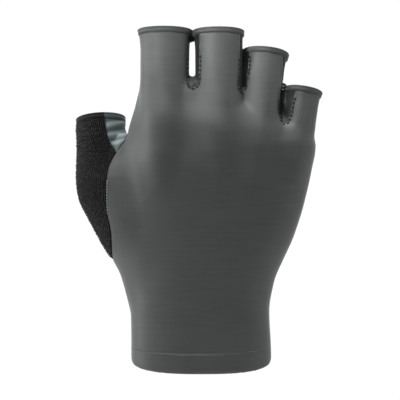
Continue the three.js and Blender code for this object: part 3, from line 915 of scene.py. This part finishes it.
HEM_PROFILE = [
    (-0.25, -0.40), (0.00, 0.00), (0.35, 0.17), (0.95, 0.20), (1.45, 0.10), (1.70, 0.02), (1.95, 0.14),
    (2.25, 0.24), (2.55, 0.14), (2.72, -0.14), (2.70, -0.50), (2.50, -0.85), (2.10, -1.20), (1.20, -1.45),
    (0.20, -1.45), (-0.60, -1.30), (-0.60, -0.60),
]
HEM_SIDES = 160


def swept_band(place):
    """A closed band whose profile points are placed by height, distance out and angle."""
    count = len(HEM_PROFILE)
    profile = np.array(HEM_PROFILE)
    angle = np.linspace(0, 2 * math.pi, HEM_SIDES, endpoint=False)
    rings = np.stack([place(height, out, angle) for height, out in profile], axis=1)
    rows = np.arange(HEM_SIDES)
    faces = []
    for i in range(count):
        a, b = rows * count + i, rows * count + (i + 1) % count
        c, d = np.roll(b, -1), np.roll(a, -1)
        faces += [columns(a, c, b), columns(a, d, c)]
    return rings.reshape(-1, 3), np.concatenate(faces)


def rounded_wave(angle, square):
    c, s = np.cos(angle), np.sin(angle)
    return np.sign(c) * np.abs(c) ** (2 / square), np.sign(s) * np.abs(s) ** (2 / square)


def finger_band(finger):
    axis, wide, thick = finger_axis(finger)
    root = finger_root(finger)

    def place(height, out, angle):
        length = finger["length"] - FINGER_HEM_HEIGHT + height
        half_wide, half_deep, shift = finger_section(finger, length)
        c, s = rounded_wave(angle, FINGER_SQUARE)
        centre = root + axis * length + wide * shift
        return centre + np.outer(c * (half_wide + out), wide) + np.outer(s * (half_deep + out), thick)

    return swept_band(place)


def thumb_band():
    def place(height, out, angle):
        centre = THUMB_TOP + THUMB_AXIS * (height - FINGER_HEM_HEIGHT)
        half_wide, half_deep = THUMB_WIDTH / 2 + out, THUMB_DEPTH / 2 + out
        return (
            centre
            + np.outer(np.cos(angle) * half_wide, THUMB_ACROSS)
            + np.outer(np.sin(angle) * half_deep, THUMB_THICK)
        )

    return swept_band(place)


def outward(points, faces):
    """The same faces, turned so that they look outwards."""
    a, b, c = (points[faces[:, k]] for k in range(3))
    volume = np.einsum("ij,ij->", a, np.cross(b, c))
    return faces if volume > 0 else faces[:, ::-1]


# Stitches and towelling loops

# Depths at which a seam seen from the back is looked for, from the back to the palm
SEAM_DEPTHS = np.arange(-28, 12, 0.4)


def onto_back(outline):
    """The points of a seam seen from the back, moved on to the glove, with a mark where they meet it."""
    flat = np.array(outline) * SHARE
    depth = SEAM_DEPTHS
    p = columns(
        np.repeat(flat[:, 0], len(depth)), np.tile(depth, len(flat)), np.repeat(flat[:, 1], len(depth))
    )
    inside = (glove_distance(p) < 0).reshape(len(flat), len(depth))
    first = inside.argmax(1)
    return columns(flat[:, 0], depth[first], flat[:, 1]), inside.any(1)


def even_points(line, pitch):
    length = run_length(line)
    where = np.arange(pitch / 2, length[-1], pitch)
    return np.stack([np.interp(where, length, line[:, k]) for k in range(3)], axis=-1)


def copies(points, faces):
    """The points and faces of all copies of a shape, from a row of points for each copy."""
    faces = np.array(faces)[None] + (np.arange(len(points)) * points.shape[1])[:, None, None]
    return points.reshape(-1, 3), faces.reshape(-1, 3)


BEAD_RINGS = 5
BEAD_SIDES = 8


def beads(centres, along, normal, size):
    """Small rounded dashes: half length, half width and half height of each."""
    shape = []
    for ring in range(BEAD_RINGS):
        tilt = math.pi * (ring + 0.5) / BEAD_RINGS
        wide = math.sin(tilt)
        for side in range(BEAD_SIDES):
            turn = 2 * math.pi * side / BEAD_SIDES
            shape.append((math.cos(tilt), wide * math.cos(turn), wide * math.sin(turn)))
    shape = np.array([(1, 0, 0)] + shape + [(-1, 0, 0)])
    faces = []
    for side in range(BEAD_SIDES):
        after = (side + 1) % BEAD_SIDES
        faces.append((0, 1 + side, 1 + after))
        for ring in range(BEAD_RINGS - 1):
            a, b = 1 + ring * BEAD_SIDES + side, 1 + ring * BEAD_SIDES + after
            faces += [(a, a + BEAD_SIDES, b + BEAD_SIDES), (a, b + BEAD_SIDES, b)]
        last = 1 + (BEAD_RINGS - 1) * BEAD_SIDES
        faces.append((len(shape) - 1, last + after, last + side))
    points = centres[:, None]
    for k, way in enumerate((along, np.cross(normal, along), normal)):
        points = points + shape[None, :, k:k + 1] * (way * size[k])[:, None]
    return copies(points, faces)


def on_seam(spots):
    """Points of a seam on the skin, with the way along the seam and the way out of the cloth."""
    along = unit(np.gradient(spots, axis=0))
    spots = onto_skin(spots)
    out = skin_normal(spots)
    return spots, unit(along - out * dot(along, out)[:, None]), out


# Stitches beside the gussets: pitch, half length, half width and half height, and where they end
STITCH_PITCH = 2.3
STITCH_SIZE = (0.85, 0.60, 0.36)
STITCH_RISE = 0.05
STITCH_TOPS = {"gusset_index_middle": 153.0, "gusset_middle_ring": 149.0, "gusset_ring_little": 127.0}


def seam_stitches():
    rows = []
    for name, outline in GUSSET_OUTLINES.items():
        flat = np.array(outline)
        flat = flat[flat[:, 1] * HAND_LENGTH < STITCH_TOPS[name]]
        fine = np.linspace(0, len(flat) - 1, 400)
        dense = np.stack([np.interp(fine, np.arange(len(flat)), flat[:, k]) for k in (0, 1)], -1)
        line, met = onto_back(dense)
        line = onto_skin(line[met])
        rows.append(on_seam(even_points(line, STITCH_PITCH)))
    spots, along, out = (np.concatenate(column) for column in zip(*rows))
    return beads(spots + out * STITCH_RISE, along, out, STITCH_SIZE)


# How far from the towelling's seam the pale stitches and the loops start
SEAM_GAP = 0.5

# Pale stitches beside the towelling: from and to in shares of the length, pitch, rise and half sizes
EDGE_STITCHES = {"low": 0.535, "high": 0.665, "pitch": 1.5, "rise": 0.1, "size": (0.45, 0.36, 0.34)}


def edge_stitches():
    """A short row of pale stitches where the towelling meets the back."""
    seam = np.array(rounded_outline(THUMB_SIDE_SEAM, [], 40))
    seam = seam[(seam[:, 1] > EDGE_STITCHES["low"]) & (seam[:, 1] < EDGE_STITCHES["high"])]
    line, met = onto_back(seam + (SEAM_GAP / HAND_BREADTH, 0))
    spots, along, out = on_seam(even_points(line[met], EDGE_STITCHES["pitch"]))
    return beads(spots + out * EDGE_STITCHES["rise"], along, out, EDGE_STITCHES["size"])


# Towelling loops: how far apart, how wide and high, the yarn's half thickness, how they scatter and
# lean, how deep they stand in the cloth, and the points along and round the yarn
LOOP_PITCH = 1.0
LOOP_ROWS = 0.95
LOOP_COLUMNS = 60
LOOP_WIDTH = (0.28, 0.42)
LOOP_HEIGHT = (0.30, 0.60)
LOOP_YARN = 0.16
LOOP_SCATTER = 0.14
LOOP_SINK = 0.06
LOOP_LEAN = 0.35
LOOP_STEPS = 6
LOOP_SIDES = 4
LOOPS_LEFT_OF = -25.0

# How far the loops stay from the towelling's seam, the palm and the thumb's hem
LOOPS_FROM_SEAM = 0.3
LOOPS_FROM_PALM = 0.4
LOOPS_FROM_HEM = 0.4


def loop_spots():
    """Where the towelling's loops stand, in columns beside the back seam and round the thumb."""
    seam = np.array(THUMB_OUTLINE)[:-2]
    up = np.arange(seam[0, 1] * HAND_LENGTH + SEAM_GAP, seam[-1, 1] * HAND_LENGTH, LOOP_ROWS)
    across = np.interp(up, seam[:, 1] * HAND_LENGTH, seam[:, 0] * HAND_BREADTH)
    start, met = onto_back(columns(across - SEAM_GAP, up) / SHARE)
    p = onto_skin(start[met])
    rng = np.random.default_rng(11)
    spots, normals = [], []
    for _ in range(LOOP_COLUMNS):
        normal = skin_normal(p)
        inside = (thumb_outer_level(p) < -LOOPS_FROM_SEAM) & (palm_level(p) > LOOPS_FROM_PALM)
        inside &= (thumb_end_level(p) < -LOOPS_FROM_HEM) & (p[:, 0] < LOOPS_LEFT_OF)
        spots.append(p[inside])
        normals.append(normal[inside])
        way = unit(columns(normal[:, 1], -normal[:, 0], np.zeros(len(p))))
        way *= np.where(way[:, 0:1] * -normal[:, 1:2] > 0, -1, 1)
        p = onto_skin(p + way * LOOP_PITCH)
    spots, normals = np.concatenate(spots), np.concatenate(normals)
    return spots + rng.uniform(-LOOP_SCATTER, LOOP_SCATTER, spots.shape), normals, rng


def towel_loops():
    spots, normal, rng = loop_spots()
    count = len(spots)
    upright = np.array([0.0, 0.0, 1.0]) + rng.normal(0, LOOP_LEAN, (count, 3))
    along = unit(upright - normal * dot(upright, normal)[:, None])
    across = np.cross(normal, along)
    wide = rng.uniform(*LOOP_WIDTH, count)
    high = rng.uniform(*LOOP_HEIGHT, count)
    rings = []
    for step in range(LOOP_STEPS):
        turn = math.pi * step / (LOOP_STEPS - 1)
        middle = along * (math.cos(turn) * wide)[:, None]
        middle = middle + normal * (math.sin(turn) * high - LOOP_SINK)[:, None]
        out = unit(along * math.cos(turn) + normal * math.sin(turn))
        for side in range(LOOP_SIDES):
            spin = 2 * math.pi * (side + 0.5) / LOOP_SIDES
            rings.append(spots + middle + LOOP_YARN * (out * math.cos(spin) + across * math.sin(spin)))
    faces = []
    for step in range(LOOP_STEPS - 1):
        for side in range(LOOP_SIDES):
            a, b = step * LOOP_SIDES + side, step * LOOP_SIDES + (side + 1) % LOOP_SIDES
            faces += [(a, b, b + LOOP_SIDES), (a, b + LOOP_SIDES, a + LOOP_SIDES)]
    return copies(np.stack(rings, axis=1), faces)


# Surface patterns, as node groups that feed the shaders

FLOAT, COLOUR = "NodeSocketFloat", "NodeSocketColor"
PATTERN_GIVES = (("Color", COLOUR), ("Roughness", FLOAT), ("Height", FLOAT))
NOISE_ROUGHNESS = 0.55


def split_axes(tree, place):
    axes = tree.nodes.new("ShaderNodeSeparateXYZ")
    tree.links.new(place, axes.inputs["Vector"])
    return axes.outputs


class Pattern:
    """A pattern of a surface, which turns what it is given into a colour, a roughness and a height."""

    def __init__(self, name, inputs):
        self.group = group = bpy.data.node_groups.new(name, "ShaderNodeTree")
        for label, value in inputs.items():
            kind = FLOAT if isinstance(value, float) else COLOUR
            socket = group.interface.new_socket(label, in_out="INPUT", socket_type=kind)
            socket.default_value = value
        for label, kind in PATTERN_GIVES:
            group.interface.new_socket(label, in_out="OUTPUT", socket_type=kind)
        self.given = group.nodes.new("NodeGroupInput").outputs
        self.result = group.nodes.new("NodeGroupOutput").inputs
        self.place = group.nodes.new("ShaderNodeTexCoord").outputs["Object"]

    def node(self, kind, sockets, **settings):
        """The outputs of a new node, whose sockets are set to numbers or joined to other nodes."""
        node = self.group.nodes.new(kind)
        for name, value in settings.items():
            setattr(node, name, value)
        for label, value in sockets.items():
            if isinstance(value, bpy.types.NodeSocket):
                self.group.links.new(value, node.inputs[label])
            else:
                node.inputs[label].default_value = value
        return node.outputs

    def math(self, operation, *values):
        return self.node("ShaderNodeMath", dict(enumerate(values)), operation=operation)[0]

    def plus(self, a, b):
        return self.math("ADD", a, b)

    def times(self, a, b):
        return self.math("MULTIPLY", a, b)

    def noise(self, scale, detail):
        """Noise whose grains are as long as one over each scale, in metres."""
        stretched = self.node("ShaderNodeMapping", {"Scale": scale, "Vector": self.place})["Vector"]
        values = {"Scale": 1.0, "Detail": detail, "Roughness": NOISE_ROUGHNESS, "Vector": stretched}
        return self.node("ShaderNodeTexNoise", values)["Fac"]

    def mixed(self, factor, a, b):
        return self.node("ShaderNodeMix", {"Factor": factor, 6: a, 7: b}, data_type="RGBA")[2]

    def ranged(self, value, low, high, to_low, to_high):
        values = {"From Min": low, "From Max": high, "To Min": to_low, "To Max": to_high, "Value": value}
        return self.node("ShaderNodeMapRange", values)["Result"]

    def give(self, label, value):
        self.group.links.new(value, self.result[label])


# Height of one row of the knit, in metres
KNIT_ROW = 0.00045


def knit_group():
    """Fine knit with faint streaks across the hand."""
    cloth = Pattern("fine_knit", {
        "Light Yarn": (0.1, 0.1, 0.1, 1), "Dark Yarn": (0.08, 0.08, 0.08, 1), "Streaks": 1.0
    })
    streak = cloth.noise((60, 60, 700), 4.0)
    cloud = cloth.noise((45, 45, 70), 2.0)
    speck = cloth.noise((1500, 1500, 2600), 2.0)
    shade = cloth.plus(cloth.times(streak, 0.55), cloth.times(cloud, 0.25))
    shade = cloth.ranged(cloth.plus(shade, cloth.times(speck, 0.20)), 0.35, 0.65, 0, 1)
    cloth.give("Color", cloth.mixed(shade, cloth.given["Dark Yarn"], cloth.given["Light Yarn"]))
    cloth.give("Roughness", cloth.ranged(shade, 0, 1, 0.50, 0.60))
    up = split_axes(cloth.group, cloth.place)["Z"]
    rows = cloth.math("SINE", cloth.times(up, 2 * math.pi / KNIT_ROW))
    height = cloth.plus(cloth.times(rows, 0.06), cloth.times(speck, 0.35))
    wave = cloth.times(cloth.times(streak, cloth.given["Streaks"]), 0.8)
    cloth.give("Height", cloth.plus(height, wave))
    return cloth.group


def grain_group():
    """Fine irregular grain of leather, towelling or thread."""
    cloth = Pattern("fine_grain", {
        "Light": (0.02, 0.02, 0.02, 1), "Dark": (0.01, 0.01, 0.01, 1), "Size": 900.0,
        "Low Roughness": 0.6, "High Roughness": 0.8,
    })
    cells = cloth.node("ShaderNodeTexVoronoi", {"Vector": cloth.place, "Scale": cloth.given["Size"]})
    cloud = cloth.noise((90, 90, 90), 3.0)
    near = cloth.ranged(cells["Distance"], 0.1, 0.7, 0, 1)
    shade = cloth.plus(cloth.times(near, 0.5), cloth.times(cloud, 0.5))
    cloth.give("Color", cloth.mixed(shade, cloth.given["Light"], cloth.given["Dark"]))
    low, high = cloth.given["Low Roughness"], cloth.given["High Roughness"]
    cloth.give("Roughness", cloth.plus(low, cloth.times(shade, cloth.math("SUBTRACT", high, low))))
    cloth.give("Height", cloth.math("SUBTRACT", 1.0, near))
    return cloth.group


def rib_group():
    """Bands across the inner thumb panel: painted light on the ribs and painted shade in the grooves
    between them.
    """
    cloth = Pattern("rib_bands", {"Lit Rib": (0.1, 0.1, 0.1, 1), "Shaded Groove": (0.05, 0.05, 0.05, 1)})
    axes = split_axes(cloth.group, cloth.place)
    slant = cloth.times(cloth.plus(axes["X"], -RIB_MIDDLE * MM), RIB_SLOPE)
    low, high = RIBS["up"][0] * MM, RIBS["up"][-1] * MM
    where = cloth.ranged(cloth.math("SUBTRACT", axes["Z"], slant), low, high, 0, 1)
    bands = cloth.group.nodes.new("ShaderNodeValToRGB")
    bands.color_ramp.interpolation = "EASE"
    elements = bands.color_ramp.elements
    elements[1].position = 1.0
    for up in RIBS["up"][1:-1]:
        elements.new((up * MM - low) / (high - low))
    # Raised ribs get the light tone and the grooves the dark one: painted light and painted shade.
    for element, rise in zip(elements, RIBS["rise"]):
        tone = 1.0 if rise > 0 else 0.0
        element.color = (tone, tone, tone, 1)
    cloth.group.links.new(where, bands.inputs["Fac"])
    speck = cloth.noise((700, 700, 1500), 3.0)
    shade = cloth.times(bands.outputs["Color"], cloth.ranged(speck, 0.3, 0.7, 0.75, 1.2))
    cloth.give("Color", cloth.mixed(shade, cloth.given["Shaded Groove"], cloth.given["Lit Rib"]))
    cloth.give("Roughness", cloth.ranged(speck, 0.3, 0.7, 0.6, 0.75))
    cloth.give("Height", speck)
    return cloth.group


# How high the height of a pattern stands out of the cloth, in metres
PATTERN_HEIGHT = 0.0003


def material(name, group, values, sheen=0.0, sheen_rough=0.4, bump=0.1, specular=0.5):
    made = bpy.data.materials.new(name)
    made.use_nodes = True
    nodes, links = made.node_tree.nodes, made.node_tree.links
    shader = nodes["Principled BSDF"]
    shader.inputs["Sheen Weight"].default_value = sheen
    shader.inputs["Sheen Roughness"].default_value = sheen_rough
    shader.inputs["Specular IOR Level"].default_value = specular
    pattern = nodes.new("ShaderNodeGroup")
    pattern.node_tree = group
    for label, value in values.items():
        pattern.inputs[label].default_value = value
    raised = nodes.new("ShaderNodeBump")
    raised.inputs["Strength"].default_value = bump
    raised.inputs["Distance"].default_value = PATTERN_HEIGHT
    links.new(pattern.outputs["Color"], shader.inputs["Base Color"])
    links.new(pattern.outputs["Roughness"], shader.inputs["Roughness"])
    links.new(pattern.outputs["Height"], raised.inputs["Height"])
    links.new(raised.outputs["Normal"], shader.inputs["Normal"])
    return made


knit, grain, ribs = knit_group(), grain_group(), rib_group()


def knitted(name, light, dark, streaks, **finish):
    """A knit, by its two yarns and how strong its streaks are."""
    values = {"Light Yarn": (*light, 1), "Dark Yarn": (*dark, 1), "Streaks": streaks}
    return material(name, knit, values, **finish)


def grained(name, light, dark, size, rough, **finish):
    """A leather, towelling or thread, by its two colours, its grains per metre and its roughness."""
    values = {"Light": (*light, 1), "Dark": (*dark, 1), "Size": size}
    values |= {"Low Roughness": rough[0], "High Roughness": rough[1]}
    return material(name, grain, values, **finish)


stretch_fabric = knitted(
    "stretch_fabric", (0.074, 0.081, 0.078), (0.058, 0.064, 0.062), 0.5,
    sheen=0.25, sheen_rough=0.35, bump=0.35, specular=0.45,
)
# The gussets are the back's own knit, painted much darker as the shade that falls between the fingers.
shaded_gusset_fabric = knitted(
    "shaded_gusset_fabric", (0.020, 0.022, 0.021), (0.012, 0.014, 0.013), 0.6,
    sheen=0.03, bump=0.35, specular=0.25,
)
hem_fabric = knitted(
    "hem_fabric", (0.060, 0.067, 0.064), (0.046, 0.052, 0.050), 0.3,
    sheen=0.15, sheen_rough=0.35, bump=0.3, specular=0.4,
)
thumb_hem_fabric = knitted(
    "thumb_hem_fabric", (0.105, 0.135, 0.138), (0.075, 0.098, 0.100), 0.3,
    sheen=0.15, bump=0.3, specular=0.3,
)
towel_edge = grained(
    "towel_edge", (0.016, 0.016, 0.016), (0.009, 0.009, 0.009), 1800.0, (0.75, 0.9),
    sheen=0.1, bump=0.3, specular=0.3,
)
palm_leather = grained(
    "palm_leather", (0.020, 0.020, 0.022), (0.012, 0.012, 0.014), 900.0, (0.55, 0.75),
    bump=0.3,
)
towelling = grained(
    "towelling", (0.008, 0.008, 0.008), (0.003, 0.003, 0.003), 1400.0, (0.85, 0.95),
    sheen=0.05, sheen_rough=0.5, bump=0.5, specular=0.15,
)
towelling_yarn = grained(
    "towelling_yarn", (0.090, 0.090, 0.090), (0.004, 0.004, 0.004), 650.0, (0.75, 0.9),
    sheen=0.15, sheen_rough=0.5, bump=0.3, specular=0.25,
)
# Its two colours are painted light on the ribs and painted shade in the grooves.
rib_fabric = material(
    "rib_fabric", ribs, {"Lit Rib": (0.250, 0.305, 0.312, 1), "Shaded Groove": (0.100, 0.128, 0.132, 1)},
    sheen=0.15, bump=0.3, specular=0.3,
)
black_thread = grained(
    "black_thread", (0.006, 0.006, 0.006), (0.003, 0.003, 0.003), 3000.0, (0.6, 0.8), bump=0.2,
)
pale_thread = grained("pale_thread", (0.34, 0.36, 0.35), (0.22, 0.24, 0.23), 3000.0, (0.5, 0.7), bump=0.2)

skin_points, skin_triangles = skin_mesh()
skin_points, cloth = panels(skin_points, skin_triangles)

PANELS = {
    "back_panel": (stretch_fabric, "stretch_fabric", back_lift),
    "palm_panel": (palm_leather, "palm_leather", palm_lift),
    "gusset_index_middle": (shaded_gusset_fabric, "stretch_fabric", gusset_lift),
    "gusset_middle_ring": (shaded_gusset_fabric, "stretch_fabric", gusset_lift),
    "gusset_ring_little": (shaded_gusset_fabric, "stretch_fabric", gusset_lift),
    "thumb_outer_panel": (towelling, "towelling", towel_lift),
    "thumb_inner_panel": (rib_fabric, "rib_fabric", rib_lift),
    "cuff_hem": (stretch_fabric, "stretch_fabric", cuff_lift),
}
for name, (finish, slot, lift) in PANELS.items():
    own_points, own_faces, smooth = panel_mesh(skin_points, cloth[name], lift)
    piece = add_mesh(name + "_cloth", own_points, own_faces, finish, smooth)
    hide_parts(name)

bands = {"hem_" + name: finger_band(finger) for name, finger in FINGERS.items()}
bands["hem_thumb"] = thumb_band()
for name, (own_points, own_faces) in bands.items():
    own_faces = outward(own_points - own_points.mean(0), own_faces)
    finish = thumb_hem_fabric if name == "hem_thumb" else hem_fabric
    piece = add_mesh(name + "_roll", own_points, own_faces, finish)
    if name == "hem_thumb":
        middle = own_points[own_faces].mean(1)
        dark = (thumb_outer_level(middle) < 0) | (palm_level(middle) < 0)
        piece.data.materials.append(towel_edge)
        piece.data.polygons.foreach_set("material_index", dark.astype(np.int32))
    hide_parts(name)

TRIMMINGS = {
    "gusset_stitches": (seam_stitches, black_thread, "stretch_fabric"),
    "edge_stitches": (edge_stitches, pale_thread, "stretch_fabric"),
    "towelling_loops": (towel_loops, towelling_yarn, "towelling"),
}
for name, (sewn, finish, slot) in TRIMMINGS.items():
    piece = add_mesh(name, *sewn(), finish)

# A pale floor under the glove and a bright wall of light behind it, in metres
FLOOR_RADIUS = 1.4
FLOOR_HEIGHT = -0.12
FLOOR_SIDES = 96
floor_finish = grained("pale_floor", (0.80, 0.80, 0.80), (0.76, 0.76, 0.76), 60.0, (0.75, 0.85), bump=0.0)
mesh = bpy.data.meshes.new("floor")
turns = [2 * math.pi * i / FLOOR_SIDES for i in range(FLOOR_SIDES)]
edge = [(FLOOR_RADIUS * math.cos(t), FLOOR_RADIUS * math.sin(t), FLOOR_HEIGHT) for t in turns]
mesh.from_pydata(edge, [], [tuple(range(FLOOR_SIDES))])
mesh.materials.append(floor_finish)
floor = bpy.data.objects.new("floor", mesh)
bpy.context.scene.collection.objects.link(floor)

scene = bpy.context.scene
scene.view_settings.view_transform = "Standard"
world = bpy.data.worlds.new("studio")
scene.world = world
world.use_nodes = True
nodes, links = world.node_tree.nodes, world.node_tree.links
axes = split_axes(world.node_tree, nodes.new("ShaderNodeTexCoord").outputs["Generated"])
ramp = nodes.new("ShaderNodeValToRGB")
ramp.color_ramp.elements[0].position = 0.40
ramp.color_ramp.elements[0].color = (0.18, 0.18, 0.18, 1)
ramp.color_ramp.elements[1].position = 0.95
ramp.color_ramp.elements[1].color = (1.0, 1.0, 1.0, 1)
span = nodes.new("ShaderNodeMapRange")
span.inputs["From Min"].default_value = -1
links.new(axes["Y"], span.inputs["Value"])
links.new(span.outputs["Result"], ramp.inputs["Fac"])
links.new(ramp.outputs["Color"], nodes["Background"].inputs["Color"])
nodes["Background"].inputs["Strength"].default_value = 1.02

# Lamps above the glove, at each side of it and on its fingers, aimed at its middle if not told otherwise
MIDDLE = Vector((-0.7, 0.0, 76.8)) * MM


def lamp(name, place, size, power, spread=180, aim=MIDDLE):
    light = bpy.data.lights.new(name, "AREA")
    light.shape = "RECTANGLE"
    light.size, light.size_y = size
    light.energy = power
    light.spread = math.radians(spread)
    holder = bpy.data.objects.new(name, light)
    holder.location = place
    holder.rotation_euler = (Vector(aim) - Vector(place)).to_track_quat("-Z", "Y").to_euler()
    scene.collection.objects.link(holder)


lamp("top_light", (-0.25, -0.06, 1.45), (0.6, 0.5), 1.6, 40)
lamp("side_light", (-1.2, -0.05, 0.35), (0.4, 0.7), 9.0)
lamp("fill_light", (1.2, -0.20, 0.25), (0.5, 0.8), 2.0)
lamp("finger_light", (-0.60, -0.85, 0.80), (0.03, 0.03), 0.019, 6, (0.0, 0.0, 0.172))

# The camera's distance, and the width that it sees at the glove, in metres
CAMERA_DISTANCE = 1.6
FRAME_WIDTH = 400 * 0.485 * MM
SENSOR_WIDTH = 36
camera_data = bpy.data.cameras.new("camera")
camera_data.sensor_width = SENSOR_WIDTH
camera_data.lens = SENSOR_WIDTH * CAMERA_DISTANCE / FRAME_WIDTH
camera = bpy.data.objects.new("camera", camera_data)
camera.location = MIDDLE + Vector((0, -CAMERA_DISTANCE, 0))
camera.rotation_euler = (math.radians(90), 0, 0)
scene.collection.objects.link(camera)
scene.camera = camera
